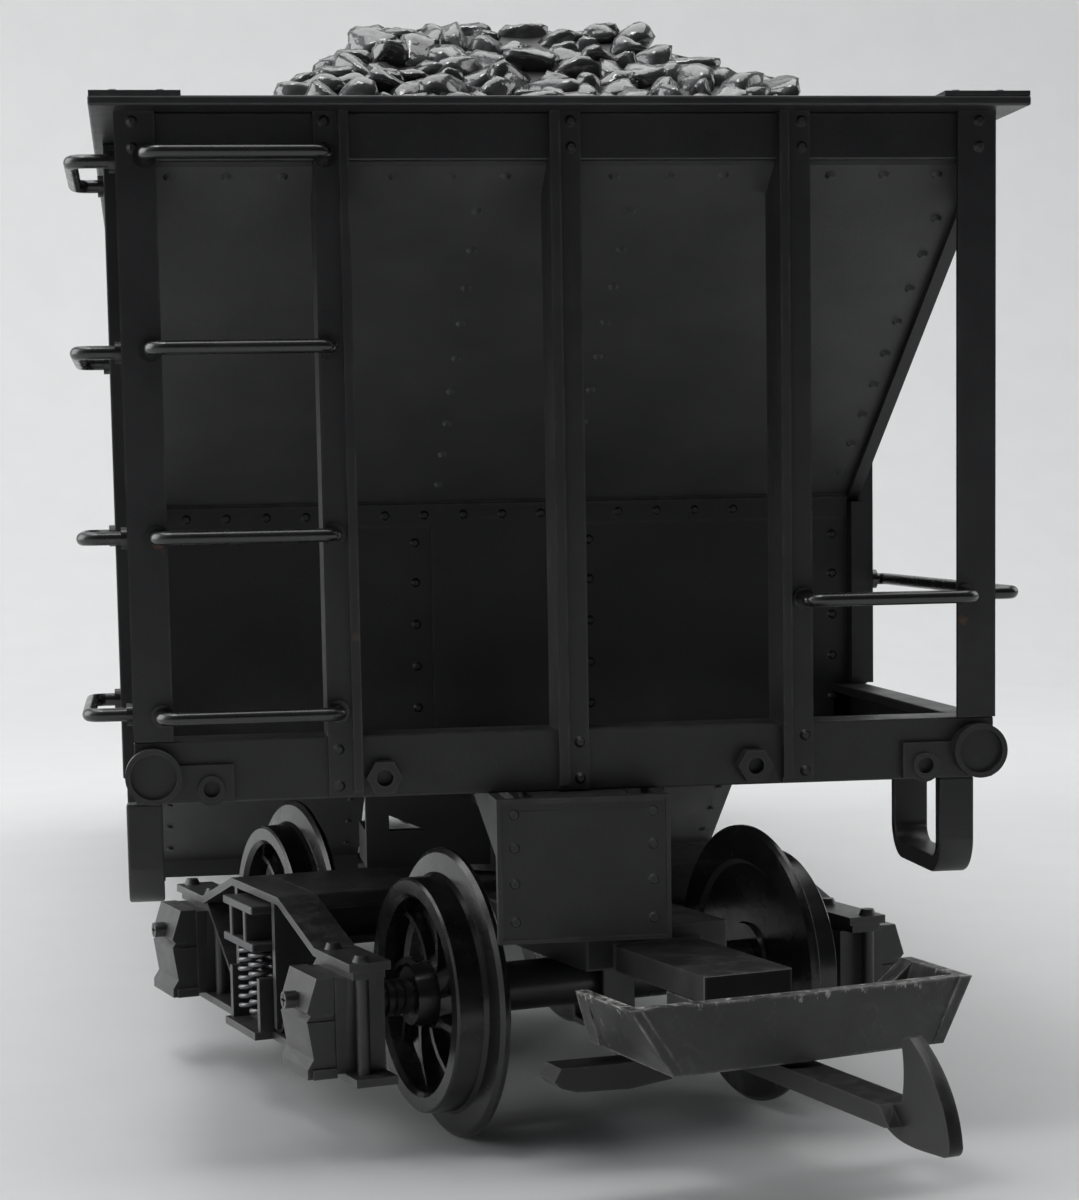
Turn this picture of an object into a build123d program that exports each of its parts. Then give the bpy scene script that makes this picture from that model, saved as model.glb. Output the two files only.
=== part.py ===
from build123d import *
import os
import math

os.makedirs("parts", exist_ok=True)

# ---- driving dimensions (mm) ------------------------------------------
L = 350.0            # over the end posts
YF = -L / 2          # face of the front end posts
HW = 50.4            # half width over the corner posts
SIDE_OUT = 49.9      # outer face of the side sheet
SIDE_IN = 48.3       # inner face of the side sheet
RIM_HW = 53.1        # half width of the top rim
RIM_L = 179.4        # half length of the top rim
RIM_Z0, RIM_Z1 = 122.2, 123.3
BAND_Z = 116.9       # underside of the top end band
SILL_Z0, SILL_Z1 = 45.0, 52.2
POST_T = 0.8         # posts stand proud of band and sill
POST_D = 6.5         # full depth of an intermediate post
SLOPE = 0.683        # fall of the slope sheet per mm inwards
SL_Z = 117.9         # height of the slope sheet's outer face at the end
BULK_Y = 57.5        # distance of the bulkhead behind the end face
SHEET = 1.4
RIV_R, RIV_H = 0.66, 0.48
TRUCK_Y = 54.3       # truck pivot behind the end face
TRUCK_YAW = 15.4     # truck angle at rest, degrees
AXLE_Y = 28.85       # half wheelbase
AXLE_Z = 18.0
FLANGE_R, TREAD_R = 18.0, 14.7
BACK = 20.35         # half back-to-back
PIN_R = 1.82         # king pin
PIN_BORE = 1.90
JRN_R, JRN_BORE = 1.50, 1.58
HPIN_R, HPIN_BORE = 1.20, 1.28
HOOK_Y, HOOK_Z = -62.0, 16.0
LOOP_Y = -80.0
DOOR_Y1, BAY_TOP = 162.0, 169.0   # back of a hopper bay at the bottom and at the top, behind the end face
BAY_Z = 18.0
BAY_Y0 = (SL_Z - BAY_Z) / SLOPE     # bottom of the bay's front, in line with the slope sheet
BAY_YT = (SL_Z - SILL_Z0) / SLOPE   # where the slope sheet meets the top of the bay
BAY_IN = 13.8                       # inner side of each chute

parts = {}


def slope_z(y):
    return SL_Z - SLOPE * y


def box(x0, x1, y0, y1, z0, z1, mode=Mode.ADD):
    with Locations(((x0 + x1) / 2, (y0 + y1) / 2, (z0 + z1) / 2)):
        Box(abs(x1 - x0), abs(y1 - y0), abs(z1 - z0), mode=mode)


def yz_prism(pts, x0, x1, mode=Mode.ADD):
    # profile given as (y, z), extruded along X
    with BuildSketch(Plane.YZ.offset(x0)) as sk:
        Polygon(*pts, align=None)
    extrude(sk.sketch, amount=x1 - x0, mode=mode)


def xz_rivets(pts, y, r=RIV_R, h=RIV_H):
    # heads on a face looking toward -Y
    with BuildSketch(Plane(origin=(0, y, 0), x_dir=(1, 0, 0), z_dir=(0, -1, 0))) as sk:
        with Locations(*pts):
            Circle(r)
    extrude(sk.sketch, amount=h, taper=34 if h > 0.4 else 25)


def finish(name, shape):
    shape.label = name
    parts[name] = shape


def pair(base, shape):
    finish(base + "_front", shape)
    finish(base + "_rear", shape.rotate(Axis.Z, 180))


def four(shape):
    # the same fitting at both ends, as separate solids
    return Compound(children=[s for p in (shape, shape.rotate(Axis.Z, 180)) for s in p.solids()])


# ======================= car body ========================================
# ---- end posts
INTER = [(-28.4, -24.5, -25.6, -24.5, -27.2), (-1.8, 1.8, -1.8, -0.6, 0.7), (24.7, 28.4, 24.7, 25.8, 27.4)]
with BuildPart() as end_posts:
    for x0, x1, r0, r1, rv in INTER:
        box(x0, x1, YF, YF + POST_T, SILL_Z0 + 0.2, RIM_Z0)
        yz_prism([(YF + POST_T, SILL_Z1), (YF + POST_D, SILL_Z1), (YF + POST_D, slope_z(POST_D)),
                  (YF + 2.2, slope_z(2.2)), (YF + 2.2, BAND_Z), (YF + POST_T, BAND_Z)], x0, x1)
        box(r0, r1, YF - 0.7, YF, SILL_Z0 + 0.8, RIM_Z0)
        xz_rivets([(rv, 121.1), (rv, 118.2), (rv, 50.7), (rv, 46.5)], YF)
    for s in (-1, 1):
        box(s * 45.9, s * HW, YF, YF + POST_T, SILL_Z1, RIM_Z0)
        box(s * 48.5, s * HW, YF + POST_T, YF + 8.0, SILL_Z1, RIM_Z0)
        xz_rivets([(s * 48.4, 121.1), (s * 48.4, 118.2)], YF)
pair("end_posts", end_posts.part)

# ---- top band and end sill
with BuildPart() as end_band:
    box(-48.5, 48.5, YF + POST_T, YF + 2.2, BAND_Z, RIM_Z0)
pair("end_band", end_band.part)

with BuildPart() as end_sill:
    box(-HW, HW, YF + POST_T, YF + 2.4, SILL_Z0, SILL_Z1)
    box(-HW + 2.0, HW - 2.0, YF + 2.4, YF + 7.0, SILL_Z1 - 1.4, SILL_Z1)
    box(-HW + 2.0, HW - 2.0, YF + 2.4, YF + 7.0, SILL_Z0, SILL_Z0 + 1.4)
pair("end_sill", end_sill.part)

# ---- side sills
for s, nm in ((-1, "side_sill_left"), (1, "side_sill_right")):
    with BuildPart() as side_sill:
        box(s * 48.9, s * HW, YF + 2.4, -YF - 2.4, SILL_Z0, SILL_Z1)
        box(s * 46.4, s * 48.9, YF + 7.0, -YF - 7.0, SILL_Z1 - 1.2, SILL_Z1)
        box(s * 46.4, s * 48.9, YF + 7.0, -YF - 7.0, SILL_Z0, SILL_Z0 + 1.2)
    finish(nm, side_sill.part)

# ---- side panels: sheet, posts and rivets
SIDE_POSTS = [-117.5 + i * 39.1667 for i in range(7)]
for s, nm in ((-1, "side_panel_left"), (1, "side_panel_right")):
    with BuildPart() as side_panel:
        e = YF + 8.0
        b = YF + BULK_Y
        prof = [(e, RIM_Z0), (e, slope_z(8) - 1.2), (b, slope_z(BULK_Y) - 1.2), (b, SILL_Z1),
                (-b, SILL_Z1), (-b, slope_z(BULK_Y) - 1.2), (-e, slope_z(8) - 1.2), (-e, RIM_Z0)]
        yz_prism(prof, min(s * SIDE_IN, s * SIDE_OUT), max(s * SIDE_IN, s * SIDE_OUT))
        for yp in SIDE_POSTS:
            box(s * SIDE_OUT, s * 50.6, yp - 3.0 if yp > b + 1 else b, yp + 3.0 if yp < -b - 1 else -b, SILL_Z1, RIM_Z0)
            box(s * 50.6, s * 52.1, yp - 1.2 if yp > b + 1 else b, yp + 1.2 if yp < -b - 1 else -b, SILL_Z1, RIM_Z0) if abs(abs(yp) - 117.5) > 1 else box(
                s * 50.6, s * 52.1, b if yp < 0 else -b - 2.4, b + 2.4 if yp < 0 else -b, SILL_Z1, RIM_Z0)
        with BuildSketch(Plane(origin=(s * 50.6, 0, 0), x_dir=(0, s, 0), z_dir=(s, 0, 0))):
            with Locations(*[(s * (yp + d), z) for yp in SIDE_POSTS[1:-1] for d in (-2.1, 2.1)
                             for z in [58 + 9.6 * k for k in range(7)]]):
                Circle(0.55)
        extrude(amount=0.35, taper=20)
        for e_ in (-1, 1):
            box(s * 48.5, s * 50.6, e_ * (b - 2.0), e_ * b, SILL_Z1, slope_z(BULK_Y) - 1.2)
        for yl in (-90.0, 0.0, 90.0):
            box(s * 45.8, s * SIDE_IN, yl - 6.0, yl + 6.0, 117.3, 118.6)
    finish(nm, side_panel.part)

# ---- slope sheets
nrm = Vector(0, -SLOPE, -1).normalized()
with BuildPart() as slope_sheet:
    k = SHEET * math.sqrt(1 + SLOPE * SLOPE)
    yz_prism([(YF + 2.2, slope_z(2.2)), (YF + BAY_YT, SILL_Z0), (YF + BAY_YT + k / SLOPE, SILL_Z0),
              (YF + 2.2, slope_z(2.2) + k)], -SIDE_IN, SIDE_IN)
    for s in (-1, 1):
        box(s * 46.3, s * 49.0, YF + 90.0, YF + 112.0, SILL_Z0 - 1, SILL_Z1 + 0.1, mode=Mode.SUBTRACT)
    sp = Plane(origin=(0, YF, SL_Z), x_dir=(1, 0, 0), z_dir=tuple(nrm))
    c = math.sqrt(1 + SLOPE * SLOPE)
    sgn = 1 if (sp.from_local_coords(Vector(0, 1, 0)) - Vector(0, YF, SL_Z)).Y > 0 else -1
    pts = []
    for i in range(-7, 8):
        if i not in (-4, 0, 4):
            pts.append((i * 6.35, sgn * 3.6 * c))
    for i in range(9):
        for x in (-9.0, 9.0):
            pts.append((x, sgn * (8.6 + 5.72 * i) * c))
        for x in (-46.4, 46.4):
            pts.append((x, sgn * (10.0 + 5.4 * i) * c))
    with BuildSketch(sp):
        with Locations(*pts):
            Circle(RIV_R)
    extrude(amount=RIV_H, taper=34)
pair("slope_sheet", slope_sheet.part)

# ---- vertical bulkheads under the slope sheets
BY = YF + BULK_Y
BT = slope_z(BULK_Y)
with BuildPart() as bulkhead:
    yz_prism([(BY, SILL_Z1), (BY + SHEET, SILL_Z1), (BY + SHEET, slope_z(BULK_Y + SHEET) - 0.05), (BY, BT - 0.05)], -SIDE_IN, SIDE_IN)
    box(-46.4, 46.4, BY, BY + SHEET, SILL_Z0, SILL_Z1)
    box(-SIDE_IN, SIDE_IN, BY - 0.5, BY, BT - 3.4, BT - 0.4)
    box(-9.8, 9.8, BY - 0.5, BY, SILL_Z0, BT - 3.4)
    xz_rivets([(i * 5.35, BT - 1.9) for i in range(-8, 9)], BY - 0.5)
    xz_rivets([(x, z) for x in (-12.0, 12.0, -46.2, 46.2) for z in (50.5, 56.2, 61.9, 67.6, 73.0)], BY)
pair("bulkhead", bulkhead.part)

# ---- top rim and its corner gussets
with BuildPart() as top_rim:
    box(-RIM_HW, RIM_HW, -RIM_L, RIM_L, RIM_Z0, RIM_Z1)
    box(-47.2, 47.2, -172.4, 172.4, RIM_Z0, RIM_Z1, mode=Mode.SUBTRACT)
finish("top_rim", top_rim.part)

with BuildPart() as corner_gussets:
    for sx in (-1, 1):
        for sy in (-1, 1):
            box(sx * 43.0, sx * 53.0, sy * 172.8, sy * 179.3, RIM_Z1, RIM_Z1 + 0.55)
            with Locations((sx * 45.2, sy * 176.2, RIM_Z1 + 0.55), (sx * 50.4, sy * 176.2, RIM_Z1 + 0.55)):
                Cone(0.8, 0.45, 0.5, align=(Align.CENTER, Align.CENTER, Align.MIN))
finish("corner_gussets", corner_gussets.part)

# ---- underframe: centre sill, body bolsters, floor plates
TY = YF + TRUCK_Y
with BuildPart() as underframe:
    box(-6.0, 6.0, YF + 7.0, -YF - 7.0, 38.6, 43.6)
    for sy in (-1, 1):
        box(-48.0, 48.0, sy * TY - 5.0, sy * TY + 5.0, 40.0, 45.0)
        with Locations((0, sy * TY, 28.9)):
            Cylinder(7.0, 11.8, align=(Align.CENTER, Align.CENTER, Align.MIN))
        # side bearing beam on a plate with two windows
        ya = sy * (TY - 6.0)
        box(-20.3, 20.3, ya, ya + sy * 2.4, 29.9, 34.8)
        box(-7.6, 7.6, ya, ya + sy * 12.0, 29.9, 34.8)
        for s in (-1, 1):
            box(s * 18.9, s * 20.3, ya, ya + sy * 12.0, 29.9, 34.8)
        box(-20.3, 20.3, ya, ya + sy * 1.8, 34.8, 40.2)
        for s in (-1, 1):
            with BuildSketch(Plane.XZ.offset(-(ya - 1.0))) as win:
                Polygon((s * 17.2, 36.9), (s * 17.2, 34.8), (s * 12.3, 34.8), align=None)
            extrude(win.sketch, amount=-3.8, mode=Mode.SUBTRACT)
        y0, y1 = sorted((sy * (-YF - BULK_Y - SHEET), sy * (-YF - BAY_YT + 0.3)))
        box(-46.2, 46.2, y0, y1, 43.6, 45.0)
        y0, y1 = sorted((sy * (-YF - BAY_YT + 0.3), sy * (-YF - BAY_TOP)))
        box(-BAY_IN + 0.1, BAY_IN - 0.1, y0, y1, 43.6, 45.0)
    box(-46.2, 46.2, -(-YF - BAY_TOP) + 0.2, (-YF - BAY_TOP) - 0.2, 43.6, 45.0)
finish("underframe", underframe.part)

# ---- draft boxes with riveted cover plates
with BuildPart() as draft_box:
    y = YF - 6.0
    box(-10.0, 10.0, y, y + 1.2, 28.4, SILL_Z0)
    box(-5.5, 5.5, y + 1.2, YF + 7.0, 31.0, SILL_Z0)
    for s in (-1, 1):
        yz_prism([(y + 1.2, 45.0), (YF + 14.0, 45.0), (YF + 14.0, 43.4), (y + 1.2, 38.4)],
                 min(s * 8.8, s * 10.0), max(s * 8.8, s * 10.0))
    box(-10.0, 10.0, y - 0.25, y, 28.4, 28.9)
    box(-10.0, 10.0, y - 0.25, y, 44.5, 45.0)
    for s in (-1, 1):
        box(s * 9.5, s * 10.0, y - 0.25, y, 28.9, 44.5)
    xz_rivets([(s * 8.0, z) for s in (-1, 1) for z in (30.9, 35.3, 39.4, 43.2)], y, 0.62, 0.35)
pair("draft_box", draft_box.part)

# ---- hopper bays: two chutes each
def bay_prof(o):
    # closed (y, z) outline; o = 0 is the outside, 1 the cavity
    za, zb = SILL_Z0 + 2 * o, BAY_Z - 2 * o
    back = (BAY_TOP - DOOR_Y1) / (SILL_Z0 - BAY_Z)
    return [(YF + (SL_Z - za) / SLOPE + 2.1 * o, za), (YF + (SL_Z - zb) / SLOPE + 2.1 * o, zb),
            (YF + DOOR_Y1 + back * (zb - BAY_Z) - 1.2 * o, zb), (YF + DOOR_Y1 + back * (za - BAY_Z) - 1.2 * o, za)]


nrm_b = Vector(0, -SLOPE, -1).normalized()
with BuildPart() as hopper_bay:
    for s in (-1, 1):
        with BuildPart(mode=Mode.PRIVATE) as chute:
            yz_prism(bay_prof(0), min(s * BAY_IN, s * 48.0), max(s * BAY_IN, s * 48.0))
            yz_prism(bay_prof(1), min(s * (BAY_IN + 1.2), s * 46.8), max(s * (BAY_IN + 1.2), s * 46.8), mode=Mode.SUBTRACT)
            # lip below the sloping front, and the flange that closes the outer edge
            box(s * BAY_IN, s * 48.0, YF + BAY_Y0 - 0.4, YF + BAY_Y0 + 0.9, 15.5, BAY_Z + 0.3)
        add(chute.part)
    bp_ = Plane(origin=(0, YF, SL_Z), x_dir=(1, 0, 0), z_dir=tuple(nrm_b))
    sg = 1 if (bp_.from_local_coords(Vector(0, 1, 0)) - Vector(0, YF, SL_Z)).Y > 0 else -1
    cc = math.sqrt(1 + SLOPE * SLOPE)
    with BuildSketch(bp_):
        with Locations(*[(s * x, sg * y * cc) for s in (-1, 1) for x in (45.8, 16.0) for y in (111.0, 117.0, 123.0, 129.0, 135.5, 142.0)]):
            Circle(0.6)
    extrude(amount=0.35, taper=20)
hb = hopper_bay.part
pair("hopper_bay", hb)

# ---- hopper doors: two leaves on one cross shaft
DH_Y, DH_Z = YF + DOOR_Y1 + 1.4, BAY_Z - 2.9
with BuildPart() as hopper_door:
    for s in (-1, 1):
        box(s * 16.2, s * 45.6, YF + BAY_Y0 + 2.0, DH_Y, BAY_Z - 1.8, BAY_Z - 0.5)
        box(s * 16.2, s * 45.6, YF + BAY_Y0 + 2.0, YF + BAY_Y0 + 3.4, BAY_Z - 2.8, BAY_Z - 1.8)
        box(s * 16.2, s * 45.6, DH_Y - 1.0, DH_Y, DH_Z, BAY_Z - 0.5)
        for x in (21.0, 40.0):
            box(s * (x - 1.0), s * (x + 1.0), YF + BAY_Y0 + 3.4, DH_Y - 1.2, BAY_Z - 2.6, BAY_Z - 1.8)
    with Locations((0, DH_Y, DH_Z)):
        Cylinder(1.0, 95.6, rotation=(0, 90, 0))
pair("hopper_door", hopper_door.part)

with BuildPart() as door_hangers:
    for x in (-47.2, -14.6, 14.6, 47.2):
        yz_prism([(DH_Y - 2.2, DH_Z - 2.4), (DH_Y + 2.2, DH_Z - 2.4), (DH_Y + 2.2, BAY_Z + 3.5 * 27 / 7),
                  (YF + DOOR_Y1 + 0.02, BAY_Z - 0.02), (DH_Y - 2.2, BAY_Z - 0.02)], x - 0.6, x + 0.6)
    with Locations((0, DH_Y, DH_Z)):
        Cylinder(1.08, 100.0, rotation=(0, 90, 0), mode=Mode.SUBTRACT)
finish("door_hangers", four(door_hangers.part))


# ---- bent-rod fittings
def rod_part(a, corner_a, corner_b, b, r=0.78, bend=1.6, collar=1.3):
    # round bar through four points, with a collar on each foot
    a, ca, cb, b = (Vector(*q) for q in (a, corner_a, corner_b, b))
    on = (ca - a).normalized()
    with BuildPart() as bp:
        with BuildLine():
            FilletPolyline(a, ca, cb, b, radius=bend)
        with BuildSketch(Plane(origin=a, z_dir=tuple(on))):
            Circle(r)
        sweep()
        for q in (a, b):
            with BuildSketch(Plane(origin=q, z_dir=tuple(on))):
                Circle(collar)
            extrude(amount=0.7)
    return bp.part


def group(shapes):
    return Compound(children=[x for g in shapes for x in g.solids()])


RUNG_Z = [117.3, 96.1, 75.2, 55.1]
RO = YF - 4.3
end_rungs = group([
    rod_part((-47.1, YF, z), (-47.1, RO, z), (-27.2, RO, z), (-27.2, YF, z)) - end_posts.part for z in RUNG_Z])
finish("end_rungs", four(end_rungs))
SX = -55.4
finish("side_rungs", four(group([
    rod_part((-HW, YF + 4.2, z), (SX, YF + 4.2, z), (SX, YF + 27.7, z), (-52.0, YF + 27.7, z)) for z in RUNG_Z])))
finish("handholds", four(group([
    rod_part((27.2, YF, 66.6), (27.2, RO, 66.6), (46.6, RO, 66.6), (46.6, YF, 66.6)),
    rod_part((HW, YF + 4.2, 66.6), (54.1, YF + 4.2, 66.6), (54.1, YF + 58.7, 66.6), (52.1, YF + 58.7, 66.6), bend=1.0)])))

with BuildPart() as stile:
    box(-52.0, -HW, YF + 26.0, YF + 29.4, SILL_Z0 + 0.4, RIM_Z0)
finish("ladder_stiles", four(stile.part))

# ---- sill steps
with BuildPart() as stirrups:
    for x0, x1 in ((-51.5, -47.4), (44.4, 48.6)):
        with BuildSketch(Plane.YZ.offset(x0)) as sk:
            with Locations((YF + 12.6, 44.35)):
                RectangleRounded(20.4, 22.7, 4.4)
            with Locations((YF + 12.6, 45.4)):
                RectangleRounded(16.8, 20.8, 2.4, mode=Mode.SUBTRACT)
            with Locations((YF + 12.6, 52.0)):
                Rectangle(40, 14, mode=Mode.SUBTRACT)
        extrude(amount=x1 - x0)
st = stirrups.part
finish("stirrups", four(st))

# ---- push-pole castings at the sill corners
with BuildPart() as pole_castings:
    for s in (-1, 1):
        cx, cz = s * 48.3, 48.3
        f = Plane(origin=(0, YF + POST_T, 0), x_dir=(1, 0, 0), z_dir=(0, -1, 0))
        with BuildSketch(f):
            with Locations((cx, cz)):
                Circle(3.2)
        extrude(amount=2.1)
        with BuildSketch(f.offset(2.1)):
            with Locations((cx, cz)):
                Circle(2.6)
        extrude(amount=-0.9, mode=Mode.SUBTRACT)
        with BuildSketch(f):
            with Locations((s * 43.5, 47.3)):
                Rectangle(8.6, 4.2)
            with Locations((s * 41.8, 46.7)):
                Circle(2.0)
        extrude(amount=0.9)
        with BuildSketch(f.offset(0.9)):
            with Locations((s * 41.8, 46.7)):
                Circle(1.5)
        extrude(amount=0.5)
        with BuildSketch(f.offset(1.4)):
            with Locations((s * 41.8, 46.7)):
                Circle(0.95)
        extrude(amount=-1.2, mode=Mode.SUBTRACT)

# ---- hexagonal bosses on the end sills
with BuildPart() as sill_bosses:
    f = Plane(origin=(0, YF + POST_T, 0), x_dir=(1, 0, 0), z_dir=(0, -1, 0))
    with BuildSketch(f):
        with Locations((-22.1, 47.4), (21.2, 47.4)):
            RegularPolygon(2.1, 6)
    extrude(amount=2.2)
    with BuildSketch(f.offset(2.2)):
        with Locations((-22.1, 47.4), (21.2, 47.4)):
            Circle(0.95)
    extrude(amount=-1.6, mode=Mode.SUBTRACT)
finish("sill_castings", four(group([pole_castings.part, sill_bosses.part])))

# ---- king pins
with BuildPart() as king_pin:
    with Locations((0, TY, 20.5)):
        Cylinder(PIN_R, 8.4, align=(Align.CENTER, Align.CENTER, Align.MIN))
    with Locations((0, TY, 18.7)):
        Cylinder(3.4, 1.8, align=(Align.CENTER, Align.CENTER, Align.MIN))
finish("king_pins", four(king_pin.part))

# ---- lift-out coal load
with BuildPart() as coal_load:
    box(-46.8, 46.8, -172.0, 172.0, 119.0, 120.6)
    for (z0, x0, y0), (z1, x1, y1) in (((120.6, 46.6, 171.6), (121.6, 38.0, 166.0)),
                                       ((121.6, 38.0, 166.0), (130.0, 26.5, 146.0)),
                                       ((130.0, 26.5, 146.0), (138.6, 15.0, 128.0))):
        with BuildSketch(Plane.XY.offset(z0)):
            Rectangle(2 * x0, 2 * y0)
        with BuildSketch(Plane.XY.offset(z1)):
            Rectangle(2 * x1, 2 * y1)
        loft(ruled=True)
finish("coal_load", coal_load.part)

# ======================= truck, built about its own pivot ================
# x across, y along with the coupler end at -y
tr = {}

with BuildPart() as truck_frame:
    box(-31.7, 31.7, -9.9, 9.9, 26.9, 28.5)
    box(-9.6, 9.6, -44.5, -9.9, 22.0, 26.9)
    box(-9.6, 9.6, -9.9, -6.4, 22.0, 26.9)
    box(-5.7, 5.7, -67.5, -44.5, 21.7, 24.9)
    for s in (-1, 1):
        box(-2.2, 2.2, -AXLE_Y + s * 4.4 - 0.4, -AXLE_Y + s * 4.4 + 0.4, 12.4, 22.0)
    box(-2.2, 2.2, -AXLE_Y - 4.8, -AXLE_Y + 4.8, 11.6, 12.4)
    with Locations((0, 0, 20)):
        Cylinder(PIN_BORE, 30, mode=Mode.SUBTRACT)
tr["truck_frame"] = truck_frame.part

with BuildPart() as bolster:
    yz_prism([(-6.2, 20.9), (6.2, 20.9), (6.2, 22.0), (-6.2, 22.0)], -39.4, 39.4)
    yz_prism([(-6.2, 25.8), (6.2, 25.8), (6.2, 26.9), (-6.2, 26.9)], -39.4, 39.4)
    for y in (-3.4, 2.4):
        box(-39.4, 39.4, y, y + 1.0, 22.0, 25.8)
    with Locations((0, 0, 23.9)):
        Cylinder(5.4, 6.0)
    with Locations((0, 0, 23.9)):
        Cylinder(PIN_BORE, 8, mode=Mode.SUBTRACT)
tr["bolster"] = bolster.part

for s, nm in ((-1, "sideframe_left"), (1, "sideframe_right")):
    with BuildPart() as sideframe:
        a, b = min(s * 31.7, s * 37.0), max(s * 31.7, s * 37.0)
        top = [(-36.6, 24.1), (-23.9, 24.1), (-9.9, 28.5), (9.9, 28.5), (23.9, 24.1), (36.6, 24.1)]
        bot = [(y * (1 if abs(y) > 30 else 0.985), z - 1.05) for y, z in reversed(top)]
        yz_prism(top + bot, a, b)
        t2 = [(-36.2, 23.05), (-23.4, 23.05), (-8.4, 11.5), (8.4, 11.5), (23.4, 23.05), (36.2, 23.05)]
        b2 = [(36.2, 22.0), (23.0, 22.0), (8.0, 10.4), (-8.0, 10.4), (-23.0, 22.0), (-36.2, 22.0)]
        yz_prism(t2 + b2, min(s * 32.3, s * 36.4), max(s * 32.3, s * 36.4))
        box(a, b, -38.3, 38.3, 9.4, 10.4)
        for t in (-1, 1):
            box(a, b, t * 7.3, t * 8.4, 11.0, 27.9)
            box(s * 33.0, s * 38.6, t * 5.3, t * 6.3, 10.4, 17.4)
            yj = t * AXLE_Y
            box(min(s * 31.7, s * 38.0), max(s * 31.7, s * 38.0), yj - 5.3, yj + 5.3, 10.4, 22.0)
            with Locations((s * 33.0, yj, AXLE_Z)):
                Cylinder(JRN_BORE, 8.0, rotation=(0, 90, 0), mode=Mode.SUBTRACT)
        box(s * 31.7, s * 39.4, -6.4, 6.4, 9.4, 10.4)
    tr[nm] = sideframe.part

# ---- journal box lids with their screws
with BuildPart() as journal_lids:
    for s in (-1, 1):
        for t in (-1, 1):
            yj = t * AXLE_Y
            x0, x1 = s * 38.0, s * 41.6
            with BuildPart(mode=Mode.PRIVATE) as lid:
                prof = [(38.0, 22.2), (40.2, 22.2), (41.5, 18.2), (41.0, 17.6), (41.5, 16.9), (40.8, 12.4), (41.6, 11.2), (41.6, 10.0), (38.0, 10.0)]
                with BuildSketch(Plane.XZ.offset(-(yj - 5.0))):
                    Polygon(*[(s * x, z) for x, z in prof], align=None)
                extrude(amount=-10.0)
                with BuildSketch(Plane.XY.offset(9.0)):
                    Polygon((s * 43.5, yj - 7), (s * 41.6, yj - 7), (s * 43.5, yj - 3.4), align=None)
                    Polygon((s * 43.5, yj + 7), (s * 41.6, yj + 7), (s * 43.5, yj + 3.4), align=None)
                extrude(amount=14.0, mode=Mode.SUBTRACT)
                for t2_ in (-1, 1):
                    box(s * 38.0, s * 42.0, yj + t2_ * 4.7, yj + t2_ * 5.4, 16.9, 17.6, mode=Mode.SUBTRACT)
                    box(s * 38.0, s * 41.0, yj + t2_ * 5.0, yj + t2_ * 5.5, 10.0, 11.2)
                with BuildSketch(Plane.YZ.offset(s * 41.2)):
                    with Locations((yj, 19.0)):
                        Circle(1.05)
                extrude(amount=s * 1.6)
                with BuildSketch(Plane.YZ.offset(s * 42.8)):
                    with Locations((yj, 19.0)):
                        Rectangle(1.5, 0.3)
                        Rectangle(0.3, 1.5)
                extrude(amount=s * -0.5, mode=Mode.SUBTRACT)
            add(lid.part)
tr["journal_lids"] = journal_lids.part

# ---- sideframe bolts
with BuildPart() as frame_bolts:
    for s in (-1, 1):
        for t in (-1, 1):
            for d in (-6.6, 6.6):
                with Locations((s * 35.0, t * AXLE_Y + d, 10.4)):
                    Cylinder(0.82, 11.6 if t * d > 0 else 10.2, align=(Align.CENTER, Align.CENTER, Align.MIN))
                with Locations((s * 35.0, t * AXLE_Y + d * (1.0 if t * d > 0 else 0.53), 24.1)):
                    Cone(1.15, 0.8, 0.8, align=(Align.CENTER, Align.CENTER, Align.MIN))
tr["frame_bolts"] = frame_bolts.part

# ---- suspension coils
with BuildPart() as coil:
    with BuildLine() as hl:
        Helix(pitch=1.23, height=8.6, radius=1.55)
    with BuildSketch(Plane(origin=hl.line @ 0, z_dir=hl.line % 0)):
        Circle(0.34)
    sweep(is_frenet=True)
coil_s = coil.part
coils = []
for s in (-1, 1):
    for y in (-2.3, 2.3):
        coils.append(coil_s.moved(Location((s * 36.8, y, 11.88))))
tr["springs"] = group(coils)

# ---- wheelsets
def wheel_solid():
    with BuildPart() as wheel:
        with BuildSketch(Plane.XZ):
            with BuildLine():
                Polyline((BACK, 1.9), (BACK, 5.2), (BACK + 0.5, 5.4), (BACK + 0.5, 13.0), (BACK, 13.6), (BACK, FLANGE_R - 0.5),
                         (BACK + 0.4, FLANGE_R), (BACK + 0.9, FLANGE_R), (BACK + 1.35, FLANGE_R - 0.6),
                         (BACK + 1.75, TREAD_R + 0.35), (BACK + 2.3, TREAD_R), (BACK + 5.3, TREAD_R - 0.15),
                         (BACK + 5.56, TREAD_R - 0.45), (BACK + 5.56, 12.6), (BACK + 4.9, 12.1), (BACK + 2.4, 11.7),
                         (BACK + 1.9, 11.0), (BACK + 2.3, 5.2), (BACK + 3.6, 4.2), (BACK + 6.2, 3.6), (BACK + 6.2, 1.9), close=True)
            make_face()
        revolve(axis=Axis.X)
        for k in range(8):
            a0 = math.radians(45 * k)
            p = []
            for q in range(5):
                rr = 4.0 + q * 1.95
                an = a0 + 0.16 * q
                p.append((rr * math.cos(an), rr * math.sin(an)))
            o = []
            for q in range(4, -1, -1):
                rr = 4.0 + q * 1.95
                an = a0 + 0.16 * q + 0.9 / rr
                o.append((rr * math.cos(an), rr * math.sin(an)))
            with BuildSketch(Plane.YZ.offset(BACK + 1.6)):
                Polygon(*(p + o), align=None)
            extrude(amount=2.0)
    return wheel.part


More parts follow.
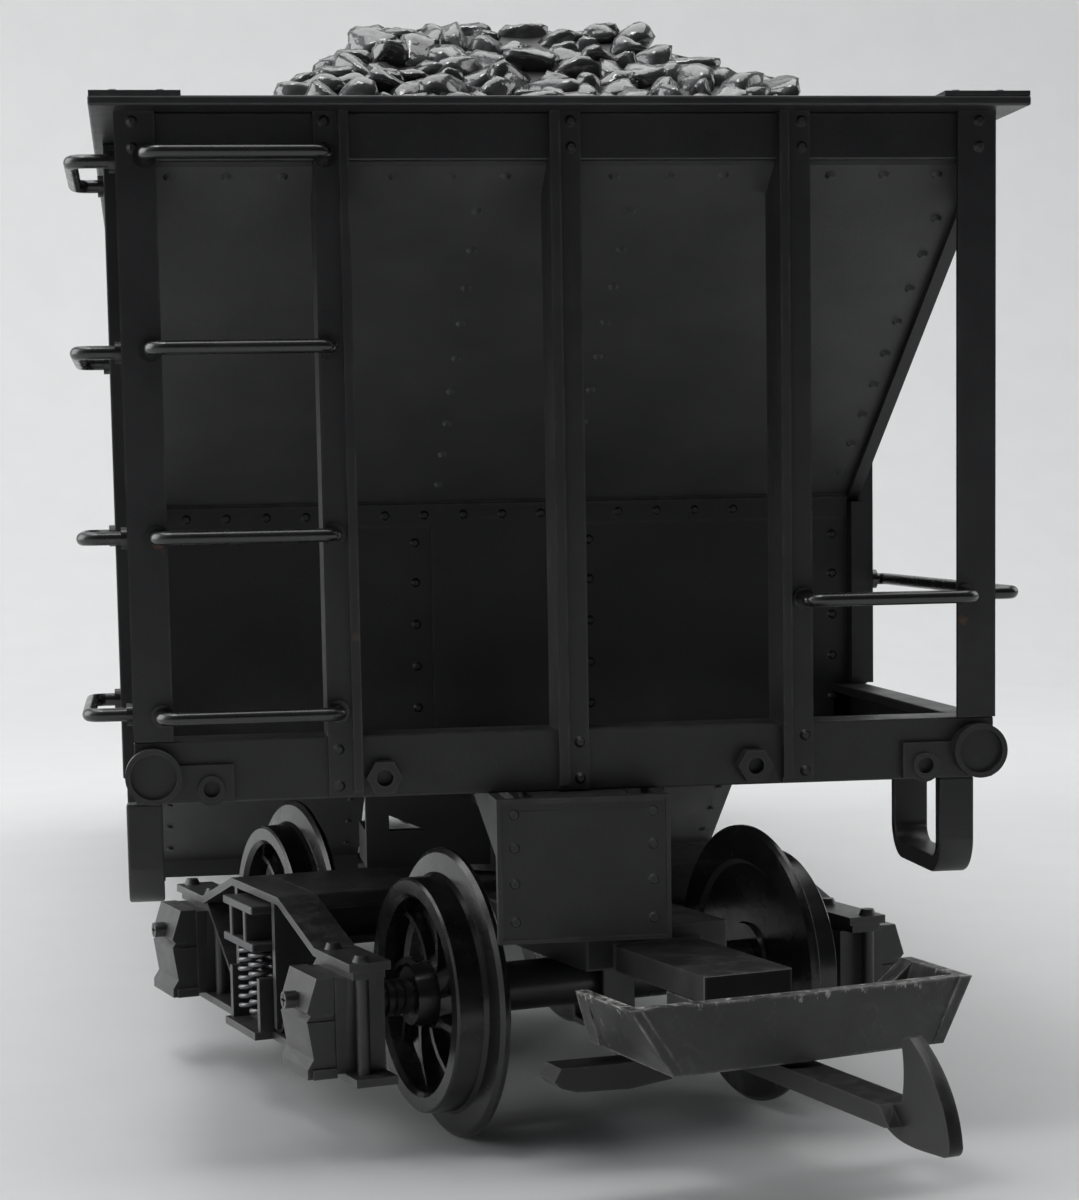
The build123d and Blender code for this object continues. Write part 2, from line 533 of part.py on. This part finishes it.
wheel_r = wheel_solid()
wheel_l = wheel_r.rotate(Axis.Z, 180)
for nm, yy in (("1", -AXLE_Y), ("2", AXLE_Y)):
    tr["wheels_" + nm] = group([w_.moved(Location((0, yy, AXLE_Z))) for w_ in (wheel_r, wheel_l)])
    with BuildPart() as axle:
        with Locations((0, yy, AXLE_Z)):
            Cylinder(3.1, 2 * (BACK - 0.0), rotation=(0, 90, 0))
            Cylinder(1.9, 2 * (BACK + 6.6), rotation=(0, 90, 0))
            Cylinder(2.7, 2 * (BACK + 8.2), rotation=(0, 90, 0)) if False else None
            Cylinder(JRN_R, 2 * 36.6, rotation=(0, 90, 0))
        for s in (-1, 1):
            for q in range(3):
                with Locations((s * (BACK + 7.0 + 1.1 * q), yy, AXLE_Z)):
                    Cylinder(2.3, 0.6, rotation=(0, 90, 0))
    tr["axle_" + nm] = axle.part

# ---- coupler loop and its bracket
with BuildPart() as coupler_loop:
    y0 = LOOP_Y
    with BuildSketch(Plane.XY.offset(15.9)):
        Polygon((-21.8, y0), (-14.0, y0 - 0.55), (0, y0 - 0.9), (14.0, y0 - 0.55), (21.8, y0),
                (21.8, y0 + 1.3), (0, y0 + 0.9), (-21.8, y0 + 1.3), align=None)
    extrude(amount=8.9)
    with BuildSketch(Plane.XZ.offset(-(y0 - 3))):
        Polygon((-30, 24.8), (-30, 26), (-21.4, 26), (-21.4, 24.8), (-16.3, 17.1), (-30, 10), align=None)
        Polygon((30, 24.8), (30, 26), (21.2, 26), (21.2, 24.8), (17.4, 17.5), (30, 10), align=None)
        Polygon((-16.3, 17.1), (17.4, 17.5), (30, 10), (-30, 10), align=None)
    extrude(amount=-30, mode=Mode.SUBTRACT)
    yb = y0 + 11.6
    for s in (-1, 1):
        # wing: full height at the loop, a little shallower at the back
        xb = 16.3 if s < 0 else 17.4
        zb = 17.1 if s < 0 else 17.5
        xt = 21.4 if s < 0 else 21.2
        with BuildSketch(Plane.XZ.offset(-(y0 + 0.9))) as wa:
            Polygon((s * xt, 24.8), (s * xb, zb), (s * (xb - 1.4), zb), (s * (xt - 1.4), 24.8), align=None)
        with BuildSketch(Plane.XZ.offset(-yb)) as wb:
            Polygon((s * 21.6, 24.8), (s * 19.9, 18.9), (s * 18.5, 18.9), (s * 20.2, 24.8), align=None)
        loft(sections=[wa.sketch, wb.sketch], ruled=True)
        # back web, falling from the wing to the floor
        with BuildSketch(Plane.XZ.offset(-yb)) as bw:
            Polygon((s * 21.6, 24.8), (s * 20.2, 24.8), (s * 12.5, 18.6), (s * 12.5, 17.2), (s * 14.0, 17.2), (s * 19.9, 18.9), align=None)
        extrude(bw.sketch, amount=-1.2)
    # floor web from the loop back to the tongue
    with BuildSketch(Plane.XY.offset(17.2)):
        Polygon((-12.5, y0 + 0.6), (12.5, y0 + 0.6), (14.0, yb + 1.2), (6.0, yb + 1.8), (5.7, -58.0), (-5.7, -58.0), (-6.0, yb + 1.8), (-14.0, yb + 1.2), align=None)
    extrude(amount=1.4)
    box(-5.7, 5.7, -67.5, -58.0, 18.6, 21.7)
    box(-2.7, 2.7, HOOK_Y - 3.6, HOOK_Y + 4.0, 15.0, 19.4, mode=Mode.SUBTRACT)
    for s in (-1, 1):
        box(s * 2.9, s * 4.3, HOOK_Y - 2.8, HOOK_Y + 2.8, 13.2, 17.2)
        box(s * 4.3, s * 5.2, HOOK_Y - 1.9, HOOK_Y + 1.9, 17.2, 18.6, mode=Mode.SUBTRACT)
    with Locations((0, HOOK_Y, HOOK_Z)):
        Cylinder(HPIN_R, 8.6, rotation=(0, 90, 0), mode=Mode.SUBTRACT)
tr["coupler_loop"] = coupler_loop.part

with BuildPart() as hook_pin:
    with Locations((0, HOOK_Y, HOOK_Z)):
        Cylinder(HPIN_R, 8.6, rotation=(0, 90, 0))
    for s in (-1, 1):
        with Locations((s * 4.6, HOOK_Y, HOOK_Z)):
            Cylinder(1.7, 0.6, rotation=(0, 90, 0))
tr["hook_pin"] = hook_pin.part

# ---- coupler hook with its trip bar
with BuildPart() as coupler_hook:
    yz_prism([(HOOK_Y, 14.4), (HOOK_Y, 16.6), (-99.0, 16.6), (-101.0, 14.6), (-100.0, 14.4)], -2.3, 2.3)
    with Locations((0, HOOK_Y, HOOK_Z)):
        Cylinder(2.5, 4.6, rotation=(0, 90, 0))
    with BuildSketch(Plane.YZ.offset(-0.8)):
        with BuildLine():
            Polyline((-97.0, 14.4), (-99.4, 16.6), (-100.9, 17.0))
            Spline((-100.9, 17.0), (-101.3, 20.2), (-100.9, 23.2))
            ThreePointArc((-100.9, 23.2), (-101.7, 24.0), (-102.8, 23.8))
            Spline((-102.8, 23.8), (-106.1, 21.3), (-108.6, 17.9), (-109.7, 14.2))
            ThreePointArc((-109.7, 14.2), (-109.3, 13.4), (-108.4, 13.1))
            Spline((-108.4, 13.1), (-104.8, 12.9), (-99.9, 13.2), (-97.0, 14.4))
        make_face()
    extrude(amount=1.6)
    # trip bar out to one side, on a short neck
    with BuildSketch(Plane.XZ.offset(70.6)) as bar:
        Polygon((-25.8, 15.6), (-25.0, 14.8), (-23.1, 14.2), (-16.7, 13.9), (-11.4, 14.5), (-11.4, 16.2), (-14.8, 16.8), (-24.9, 17.0), align=None)
    extrude(bar.sketch, amount=-4.2)
    box(-11.6, -2.0, -69.6, -67.2, 14.7, 16.1)
    with Locations((0, HOOK_Y, HOOK_Z)):
        Cylinder(HPIN_BORE, 6, rotation=(0, 90, 0), mode=Mode.SUBTRACT)
tr["coupler_hook"] = coupler_hook.part

place = Location((0, TY, 0), (0, 0, TRUCK_YAW))
for nm, shp in tr.items():
    fr = shp.moved(place)
    finish(nm + "_front", fr)
    finish(nm + "_rear", fr.rotate(Axis.Z, 180))

# ---- write every piece
for nm, shp in parts.items():
    shp.label = nm
    export_step(shp, "parts/" + nm + ".step")
print(len(parts), "parts")
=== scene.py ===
import bpy
import math
import random
from mathutils import Matrix, Vector, noise


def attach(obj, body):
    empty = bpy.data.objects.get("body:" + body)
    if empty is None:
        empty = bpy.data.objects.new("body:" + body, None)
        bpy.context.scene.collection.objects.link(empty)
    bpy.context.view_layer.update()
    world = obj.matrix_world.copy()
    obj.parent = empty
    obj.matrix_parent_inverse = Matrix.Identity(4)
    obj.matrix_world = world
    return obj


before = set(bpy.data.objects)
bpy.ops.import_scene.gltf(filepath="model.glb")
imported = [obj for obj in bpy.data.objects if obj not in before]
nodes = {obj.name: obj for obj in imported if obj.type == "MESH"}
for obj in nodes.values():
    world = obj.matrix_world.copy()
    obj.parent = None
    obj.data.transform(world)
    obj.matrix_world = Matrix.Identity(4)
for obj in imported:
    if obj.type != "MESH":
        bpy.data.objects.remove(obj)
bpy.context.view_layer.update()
scene = bpy.context.scene
MM = 0.001


# ------------------------------------------------------------- materials
def new_mat(name):
    m = bpy.data.materials.new(name)
    m.use_nodes = True
    nt = m.node_tree
    for n in list(nt.nodes):
        nt.nodes.remove(n)
    out = nt.nodes.new("ShaderNodeOutputMaterial")
    bs = nt.nodes.new("ShaderNodeBsdfPrincipled")
    nt.links.new(bs.outputs[0], out.inputs[0])
    return m, nt, bs


def N(nt, kind, **kw):
    n = nt.nodes.new(kind)
    for k, v in kw.items():
        if k.startswith("i_"):
            n.inputs[k[2:].replace("_", " ")].default_value = v
        else:
            setattr(n, k, v)
    return n


def ramp(nt, fac, p0, p1, c0=(0, 0, 0, 1), c1=(1, 1, 1, 1)):
    r = nt.nodes.new("ShaderNodeValToRGB")
    r.color_ramp.elements[0].position = p0
    r.color_ramp.elements[1].position = p1
    r.color_ramp.elements[0].color = c0
    r.color_ramp.elements[1].color = c1
    nt.links.new(fac, r.inputs[0])
    return r


def plastic(name, base, light, rough, grain=0.06, wear=0.0, dust=0.0, metal=0.0, rust=(), fine=2200.0, wear_edge=0.0, spec=0.5, chips=None):
    """Moulded plastic: slow mottling, fine pebble, dust on upward faces, scuffs and small rusty marks."""
    m, nt, bs = new_mat(name)
    L = nt.links.new
    tc = N(nt, "ShaderNodeTexCoord")
    pos = tc.outputs["Object"]
    n1 = N(nt, "ShaderNodeTexNoise", i_Scale=90.0, i_Detail=5.0, i_Roughness=0.6)
    L(pos, n1.inputs["Vector"])
    r1 = ramp(nt, n1.outputs["Fac"], 0.3, 0.72)
    mix = N(nt, "ShaderNodeMixRGB")
    mix.inputs[1].default_value = (*base, 1)
    mix.inputs[2].default_value = (*light, 1)
    L(r1.outputs[0], mix.inputs[0])
    col = mix.outputs[0]
    if dust:
        geo = N(nt, "ShaderNodeNewGeometry")
        sep = N(nt, "ShaderNodeSeparateXYZ")
        L(geo.outputs["Normal"], sep.inputs[0])
        up = N(nt, "ShaderNodeMath", operation="MAXIMUM")
        L(sep.outputs["Z"], up.inputs[0])
        up.inputs[1].default_value = 0.06
        n3 = N(nt, "ShaderNodeTexNoise", i_Scale=420.0, i_Detail=6.0, i_Roughness=0.75)
        L(pos, n3.inputs["Vector"])
        r3 = ramp(nt, n3.outputs["Fac"], 0.48, 0.78)
        mu = N(nt, "ShaderNodeMath", operation="MULTIPLY")
        L(up.outputs[0], mu.inputs[0])
        L(r3.outputs[0], mu.inputs[1])
        mu2 = N(nt, "ShaderNodeMath", operation="MULTIPLY")
        L(mu.outputs[0], mu2.inputs[0])
        mu2.inputs[1].default_value = dust
        mx = N(nt, "ShaderNodeMixRGB")
        L(mu2.outputs[0], mx.inputs[0])
        L(col, mx.inputs[1])
        mx.inputs[2].default_value = (0.36, 0.35, 0.33, 1)
        col = mx.outputs[0]
    if wear:
        n4 = N(nt, "ShaderNodeTexNoise", i_Scale=260.0, i_Detail=8.0, i_Roughness=0.7, i_Distortion=1.2)
        L(pos, n4.inputs["Vector"])
        r4 = ramp(nt, n4.outputs["Fac"], 0.56, 0.74)
        mu = N(nt, "ShaderNodeMath", operation="MULTIPLY")
        L(r4.outputs[0], mu.inputs[0])
        mu.inputs[1].default_value = wear
        mx = N(nt, "ShaderNodeMixRGB")
        L(mu.outputs[0], mx.inputs[0])
        L(col, mx.inputs[1])
        mx.inputs[2].default_value = (0.30, 0.295, 0.285, 1)
        col = mx.outputs[0]
    if wear_edge:
        bev = N(nt, "ShaderNodeBevel", samples=4)
        bev.inputs["Radius"].default_value = 0.00055
        geo2 = N(nt, "ShaderNodeNewGeometry")
        dot = N(nt, "ShaderNodeVectorMath", operation="DOT_PRODUCT")
        L(bev.outputs[0], dot.inputs[0])
        L(geo2.outputs["True Normal"], dot.inputs[1])
        re = ramp(nt, dot.outputs["Value"], 0.80, 0.985, (1, 1, 1, 1), (0, 0, 0, 1))
        n5 = N(nt, "ShaderNodeTexNoise", i_Scale=300.0, i_Detail=6.0, i_Roughness=0.7)
        L(pos, n5.inputs["Vector"])
        r5 = ramp(nt, n5.outputs["Fac"], 0.40, 0.66)
        mu = N(nt, "ShaderNodeMath", operation="MULTIPLY")
        L(re.outputs[0], mu.inputs[0])
        L(r5.outputs[0], mu.inputs[1])
        mu2 = N(nt, "ShaderNodeMath", operation="MULTIPLY")
        L(mu.outputs[0], mu2.inputs[0])
        mu2.inputs[1].default_value = wear_edge
        mx = N(nt, "ShaderNodeMixRGB")
        L(mu2.outputs[0], mx.inputs[0])
        L(col, mx.inputs[1])
        mx.inputs[2].default_value = (0.42, 0.41, 0.39, 1)
        col = mx.outputs[0]
    if chips:
        # whitish chipping, thick at the upper edge and thinning downwards, with a few runs
        sz = N(nt, "ShaderNodeSeparateXYZ")
        L(pos, sz.inputs[0])
        mz = N(nt, "ShaderNodeMapRange")
        L(sz.outputs["Z"], mz.inputs[0])
        mz.inputs[1].default_value = chips[0] * MM
        mz.inputs[2].default_value = chips[1] * MM
        mp = N(nt, "ShaderNodeMapping")
        mp.inputs["Scale"].default_value = (1.0, 1.0, 0.45)
        L(pos, mp.inputs["Vector"])
        n7 = N(nt, "ShaderNodeTexNoise", i_Scale=950.0, i_Detail=6.0, i_Roughness=0.8)
        L(mp.outputs[0], n7.inputs["Vector"])
        n8 = N(nt, "ShaderNodeTexNoise", i_Scale=75.0, i_Detail=2.0)
        L(pos, n8.inputs["Vector"])
        a1 = N(nt, "ShaderNodeMath", operation="MULTIPLY_ADD")
        L(mz.outputs[0], a1.inputs[0])
        a1.inputs[1].default_value = 0.20
        L(n7.outputs["Fac"], a1.inputs[2])
        a2 = N(nt, "ShaderNodeMath", operation="MULTIPLY_ADD")
        L(n8.outputs["Fac"], a2.inputs[0])
        a2.inputs[1].default_value = 0.30
        L(a1.outputs[0], a2.inputs[2])
        rc = ramp(nt, a2.outputs[0], 0.83, 0.91, (0, 0, 0, 1), (0.80, 0.80, 0.80, 1))
        mx = N(nt, "ShaderNodeMixRGB")
        L(rc.outputs[0], mx.inputs[0])
        L(col, mx.inputs[1])
        mx.inputs[2].default_value = (0.46, 0.45, 0.42, 1)
        col = mx.outputs[0]
    for (px, py, pz, rr) in rust:
        d = N(nt, "ShaderNodeVectorMath", operation="DISTANCE")
        L(pos, d.inputs[0])
        d.inputs[1].default_value = (px * MM, py * MM, pz * MM)
        nz = N(nt, "ShaderNodeTexNoise", i_Scale=900.0, i_Detail=4.0)
        L(pos, nz.inputs["Vector"])
        ad = N(nt, "ShaderNodeMath", operation="MULTIPLY_ADD")
        L(nz.outputs["Fac"], ad.inputs[0])
        ad.inputs[1].default_value = rr * 1.8 * MM
        L(d.outputs["Value"], ad.inputs[2])
        dv = N(nt, "ShaderNodeMath", operation="DIVIDE")
        L(ad.outputs[0], dv.inputs[0])
        dv.inputs[1].default_value = 2.0 * rr * MM
        rr_ = ramp(nt, dv.outputs[0], 0.60, 0.95, (0.8, 0.8, 0.8, 1), (0, 0, 0, 1))
        mx = N(nt, "ShaderNodeMixRGB")
        L(rr_.outputs[0], mx.inputs[0])
        L(col, mx.inputs[1])
        mx.inputs[2].default_value = (0.12, 0.055, 0.030, 1)
        col = mx.outputs[0]
    L(col, bs.inputs["Base Color"])
    bs.inputs["Metallic"].default_value = metal
    bs.inputs["Specular IOR Level"].default_value = spec
    n2 = N(nt, "ShaderNodeTexNoise", i_Scale=160.0, i_Detail=6.0, i_Roughness=0.65)
    L(pos, n2.inputs["Vector"])
    mr = N(nt, "ShaderNodeMapRange")
    L(n2.outputs["Fac"], mr.inputs[0])
    mr.inputs[1].default_value = 0.3
    mr.inputs[2].default_value = 0.7
    mr.inputs[3].default_value = rough - 0.05
    mr.inputs[4].default_value = rough + 0.09
    L(mr.outputs[0], bs.inputs["Roughness"])
    n6 = N(nt, "ShaderNodeTexNoise", i_Scale=fine, i_Detail=3.0, i_Roughness=0.6)
    L(pos, n6.inputs["Vector"])
    bp = N(nt, "ShaderNodeBump")
    bp.inputs["Strength"].default_value = grain
    bp.inputs["Distance"].default_value = 0.0002
    L(n6.outputs["Fac"], bp.inputs["Height"])
    L(bp.outputs[0], bs.inputs["Normal"])
    return m


YF = -175.0
RUST = [(-46.0, YF - 1, 74.2, 1.1), (-24.8, YF - 1, 63.5, 0.7), (46.5, YF - 0.5, 63.6, 0.9), (-51.0, YF + 4, 118.0, 0.8), (-45.7, YF, 54.0, 0.6)]
body = plastic("body_black", (0.0085, 0.0085, 0.0095), (0.017, 0.017, 0.018), 0.40, grain=0.10, dust=0.10, rust=RUST, wear_edge=0.10)
# slope sheets: the body's black plastic with its base colour raised. The lightening is painted light, standing in
# for light that the downward-facing sheets don't get.
slope_painted_light = plastic("slope_black_painted_light", (0.042, 0.042, 0.0425), (0.062, 0.062, 0.0625), 0.44, grain=0.12, dust=0.06)
body_in = plastic("body_black_side", (0.010, 0.010, 0.011), (0.018, 0.018, 0.019), 0.42, grain=0.10, dust=0.08)
truck = plastic("truck_black", (0.021, 0.021, 0.022), (0.036, 0.036, 0.037), 0.36, grain=0.10, dust=0.22, wear_edge=0.16)
rod = plastic("rod_black", (0.004, 0.004, 0.0043), (0.007, 0.007, 0.0074), 0.24, grain=0.02, spec=0.7,
              rust=[(-46.9, YF, 74.4, 1.0), (-27.4, YF, 74.6, 0.7), (-51.5, YF + 4, 117.6, 0.4), (-52.0, YF + 4, 75.0, 0.6), (-51.5, YF + 4, 55.0, 0.6)])
wheel = plastic("wheel_black", (0.0045, 0.0045, 0.005), (0.009, 0.009, 0.0095), 0.23, grain=0.03, dust=0.06, wear=0.05, spec=0.5)
axle = plastic("axle_black", (0.012, 0.012, 0.013), (0.02, 0.02, 0.021), 0.30, grain=0.03, spec=0.6)
coupler = plastic("coupler_grey", (0.021, 0.021, 0.022), (0.038, 0.038, 0.039), 0.42, grain=0.14, wear=0.10, dust=0.45, wear_edge=0.85, fine=1500.0, chips=(23.2, 25.2))
hook = plastic("hook_dark", (0.007, 0.007, 0.0072), (0.0125, 0.0125, 0.013), 0.38, grain=0.05, dust=0.08, wear_edge=0.08, spec=0.35)
steel = plastic("dark_steel", (0.10, 0.10, 0.105), (0.16, 0.16, 0.165), 0.30, grain=0.03, metal=0.9)
screw = plastic("screw_steel", (0.05, 0.047, 0.045), (0.09, 0.085, 0.08), 0.34, grain=0.05, metal=0.7)
coal = plastic("coal_black", (0.010, 0.010, 0.0105), (0.080, 0.080, 0.080), 0.15, grain=0.80, fine=430.0, spec=1.0)
coal_bed = plastic("coal_bed", (0.010, 0.010, 0.011), (0.02, 0.02, 0.021), 0.5, grain=0.3, fine=500.0)


def mat_for(n):
    if n == "coal_load":
        return coal_bed
    if n in ("end_rungs", "side_rungs", "handholds"):
        return rod
    if n.startswith("wheels"):
        return wheel
    if n.startswith("axle"):
        return axle
    if n.startswith("springs"):
        return steel
    if n.startswith("hook_pin") or n == "king_pins":
        return screw
    if n.startswith("coupler_hook"):
        return hook
    if n.startswith("coupler"):
        return coupler
    for t in ("truck_frame", "bolster", "sideframe", "journal", "frame_bolts"):
        if n.startswith(t):
            return truck
    # the slope sheets take the lightened black: painted light on their shaded, downward-facing faces
    if n.startswith("slope_sheet"):
        return slope_painted_light
    if n.startswith("side_panel") or n.startswith("hopper"):
        return body_in
    return body


BEVEL = {"end_posts": 0.22, "end_band": 0.2, "end_sill": 0.22, "side_sill": 0.22, "draft_box": 0.2, "stirrups": 0.3,
         "top_rim": 0.25, "corner_gussets": 0.12, "sideframe": 0.2, "journal_lids": 0.22, "bolster": 0.2, "truck_frame": 0.35,
         "coupler_loop": 0.22, "coupler_hook": 0.38, "hopper_bay": 0.2, "sill_castings": 0.18, "ladder_stiles": 0.2, "bulkhead": 0.12}
for n, o in nodes.items():
    o.data.materials.clear()
    o.data.materials.append(mat_for(n))
    for key, wdt in BEVEL.items():
        if n.startswith(key):
            w = o.modifiers.new("weld", "WELD")
            w.merge_threshold = 1e-6
            b = o.modifiers.new("bevel", "BEVEL")
            b.width = wdt * MM
            b.segments = 2
            b.limit_method = "ANGLE"
            b.angle_limit = math.radians(35)
            b.use_clamp_overlap = True
            b.harden_normals = False


# ------------------------------------------------------------- coal lumps
random.seed(41)


def ico(sub):
    import bmesh
    bm = bmesh.new()
    bmesh.ops.create_icosphere(bm, subdivisions=sub, radius=1.0)
    vs = [v.co.copy() for v in bm.verts]
    fs = [[v.index for v in f.verts] for f in bm.faces]
    bm.free()
    return vs, fs


ICO = {s: ico(s) for s in (1, 2, 3)}


def lump(rng, size, sub):
    vs, fs = ICO[sub]
    planes = []
    for _ in range(rng.randint(9, 13)):
        v = Vector((rng.gauss(0, 1), rng.gauss(0, 1), rng.gauss(0, 1))).normalized()
        planes.append((v, rng.uniform(0.62, 0.98)))
    sx, sy, sz = rng.uniform(1.0, 1.45), rng.uniform(0.75, 1.0), rng.uniform(0.55, 0.85)
    rot = Matrix.Rotation(rng.uniform(0, math.tau), 3, "Z") @ Matrix.Rotation(rng.uniform(-0.5, 0.5), 3, "X") @ Matrix.Rotation(rng.uniform(-0.5, 0.5), 3, "Y")
    off = Vector((rng.uniform(0, 50), rng.uniform(0, 50), rng.uniform(0, 50)))
    out = []
    for v in vs:
        r = 1.25
        for nrm, d in planes:
            c = nrm.dot(v)
            if c > 0.05:
                r = min(r, d / c)
        # soften the facets a little and roughen them
        r = 0.95 * r + 0.05
        r *= 1 + 0.10 * noise.noise(v * 2.6 + off) + 0.035 * noise.noise(v * 6.5 + off)
        p = Vector((v.x * sx * r, v.y * sy * r, v.z * sz * r))
        out.append(rot @ p * size)
    return out, fs


def mound_z(x, y):
    """Height (mm) of the coal bed at a point, matching the load's own shape."""
    ax, ay = abs(x), abs(y)
    secs = [(120.6, 46.6, 171.6), (121.6, 38.0, 166.0), (130.0, 26.5, 146.0), (138.6, 15.0, 128.0)]

    def level(v, k):
        if v >= secs[0][k]:
            return secs[0][0]
        for a, b in zip(secs, secs[1:]):
            if v >= b[k]:
                t = (a[k] - v) / (a[k] - b[k])
                return a[0] + t * (b[0] - a[0])
        return secs[-1][0]
    return min(level(ax, 1), level(ay, 2))


verts, faces = [], []
pts = []
cell = {}
tries = 0
while tries < 60000 and len(pts) < 2600:
    tries += 1
    x = random.uniform(-43.8, 43.8)
    y = random.uniform(-168.6, 168.6)
    d = 3.55
    k = (int(x // 4), int(y // 4))
    ok = True
    for i in (-1, 0, 1):
        for j in (-1, 0, 1):
            for (a, b) in cell.get((k[0] + i, k[1] + j), ()):
                if (a - x) ** 2 + (b - y) ** 2 < d * d:
                    ok = False
                    break
    if not ok:
        continue
    cell.setdefault(k, []).append((x, y))
    pts.append((x, y))
for (x, y) in pts:
    z = mound_z(x, y)
    s = random.uniform(2.1, 3.5)
    edge = min(46.4 - abs(x), 171.3 - abs(y))
    s = min(s, max(1.3, edge * 0.75))
    sub = 3 if (y < -95 and z > 124 and abs(x) < 40) else (2 if y < 0 else 1)
    if sub == 1:
        sub = 2 if random.random() < 0.3 else 1
    vv, ff = lump(random, s, sub)
    lift = random.uniform(-0.6, 0.55) - (0.9 if abs(x) > 30 else 0.0)
    zc = z + lift - 0.1 * s
    top = max(q.z for q in vv) + zc
    cap = 140.5 + 0.5 * math.sin(x * 0.41 + y * 0.23)
    if top > cap:
        zc -= top - cap
    base = len(verts)
    verts.extend([((q.x + x) * MM, (q.y + y) * MM, (q.z + zc) * MM) for q in vv])
    faces.extend([[base + i for i in f] for f in ff])
me = bpy.data.meshes.new("coal_lumps")
me.from_pydata(verts, [], faces)
me.update()
me.polygons.foreach_set("use_smooth", [True] * len(me.polygons))
lumps = bpy.data.objects.new("coal_lumps", me)
scene.collection.objects.link(lumps)
me.materials.append(coal)
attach(lumps, "load")

# ------------------------------------------------------------- floor
def sweep_floor():
    vs, fs = [], []
    prof = []
    y0, yb, r = -1.6, 0.45, 0.35
    prof.append((y0, 0.0))
    prof.append((yb, 0.0))
    for i in range(1, 13):
        a = math.radians(90 * i / 12)
        prof.append((yb + r * math.sin(a), r * (1 - math.cos(a))))
    prof.append((yb + r, 2.2))
    for i, (y, z) in enumerate(prof):
        vs.append((-2.2, y, z - 0.0002))
        vs.append((2.4, y, z - 0.0002))
        if i:
            b = 2 * i
            fs.append((b - 2, b - 1, b + 1, b))
    m = bpy.data.meshes.new("floor")
    m.from_pydata(vs, [], fs)
    m.update()
    m.polygons.foreach_set("use_smooth", [True] * len(m.polygons))
    o = bpy.data.objects.new("floor", m)
    scene.collection.objects.link(o)
    mt, nt, bs = new_mat("floor_paper")
    bs.inputs["Base Color"].default_value = (0.55, 0.55, 0.555, 1)
    bs.inputs["Roughness"].default_value = 0.6
    tc = N(nt, "ShaderNodeTexCoord")
    nz = N(nt, "ShaderNodeTexNoise", i_Scale=60.0, i_Detail=4.0)
    nt.links.new(tc.outputs["Object"], nz.inputs["Vector"])
    mx = N(nt, "ShaderNodeMixRGB")
    mx.inputs[1].default_value = (0.545, 0.549, 0.549, 1)
    mx.inputs[2].default_value = (0.585, 0.588, 0.588, 1)
    nt.links.new(nz.outputs["Fac"], mx.inputs[0])
    nt.links.new(mx.outputs[0], bs.inputs["Base Color"])
    m.materials.append(mt)
    return o


sweep_floor()

# ------------------------------------------------------------- lights
def area(name, loc, target, size, power, color=(1, 1, 1), sy=None):
    ld = bpy.data.lights.new(name, "AREA")
    ld.shape = "RECTANGLE"
    ld.size = size
    ld.size_y = sy or size
    ld.energy = power
    ld.color = color
    o = bpy.data.objects.new(name, ld)
    scene.collection.objects.link(o)
    o.location = loc
    o.rotation_mode = "QUATERNION"
    o.rotation_quaternion = (Vector(target) - Vector(loc)).to_track_quat("-Z", "Y")
    return o


area("top", (0.0, 0.10, 0.95), (0, 0.05, 0), 1.1, 9.0)
area("left", (-0.95, 0.10, 0.40), (0, -0.05, 0.06), 0.9, 8.0)
area("right", (1.0, 0.15, 0.5), (0, 0.0, 0.06), 0.7, 3.0)
area("front_top", (-0.25, -0.45, 1.25), (0, -0.12, 0.13), 0.30, 2.6)
w = bpy.data.worlds.new("world")
scene.world = w
w.use_nodes = True
bg = w.node_tree.nodes["Background"]
bg.inputs[1].default_value = 1.0
# a pale room: bright to the left and behind the car, dark on the side it is looked at from
wn = w.node_tree
tcw = wn.nodes.new("ShaderNodeTexCoord")
dotw = wn.nodes.new("ShaderNodeVectorMath")
dotw.operation = "DOT_PRODUCT"
dotw.inputs[1].default_value = (-0.50, 0.62, 0.30)
wn.links.new(tcw.outputs["Generated"], dotw.inputs[0])
rw = wn.nodes.new("ShaderNodeValToRGB")
mw_ = wn.nodes.new("ShaderNodeMapRange")
mw_.inputs[1].default_value = -0.9
mw_.inputs[2].default_value = 0.9
wn.links.new(dotw.outputs["Value"], mw_.inputs[0])
wn.links.new(mw_.outputs[0], rw.inputs[0])
cr = rw.color_ramp
cr.elements[0].position = 0.15
cr.elements[0].color = (0.035, 0.037, 0.04, 1)
cr.elements[1].position = 0.85
cr.elements[1].color = (0.80, 0.82, 0.86, 1)
e = cr.elements.new(0.45)
e.color = (0.16, 0.165, 0.175, 1)
wn.links.new(rw.outputs[0], bg.inputs[0])

# ------------------------------------------------------------- camera
YAW, PITCH, ROLL = math.radians(7.293), math.radians(-5.864), math.radians(-1.099)
FPX, CX, CY = 2584.17, 480.0, 760.0
fwd = Vector((math.sin(YAW) * math.cos(PITCH), math.cos(YAW) * math.cos(PITCH), math.sin(PITCH)))
right = Vector((math.cos(YAW), -math.sin(YAW), 0))
up = right.cross(fwd)
R = right * math.cos(ROLL) + up * math.sin(ROLL)
U = up * math.cos(ROLL) - right * math.sin(ROLL)
cd = bpy.data.cameras.new("camera")
cam = bpy.data.objects.new("camera", cd)
scene.collection.objects.link(cam)
mw = Matrix.Identity(4)
for i in range(3):
    mw[i][0], mw[i][1], mw[i][2] = R[i], U[i], -fwd[i]
mw[0][3], mw[1][3], mw[2][3] = -0.04854, -0.175 - 0.293517, 0.079375
cam.matrix_world = mw
cd.sensor_width = 36.0
cd.lens = FPX * 36.0 / 1200.0
cd.shift_x = (539.5 - CX) / 1200.0
cd.shift_y = (CY - 600.0) / 1200.0
cd.clip_start, cd.clip_end = 0.01, 20
cd.dof.use_dof = False
scene.camera = cam
scene.view_settings.view_transform = "Standard"
scene.view_settings.look = "None"
scene.view_settings.exposure = 0.0
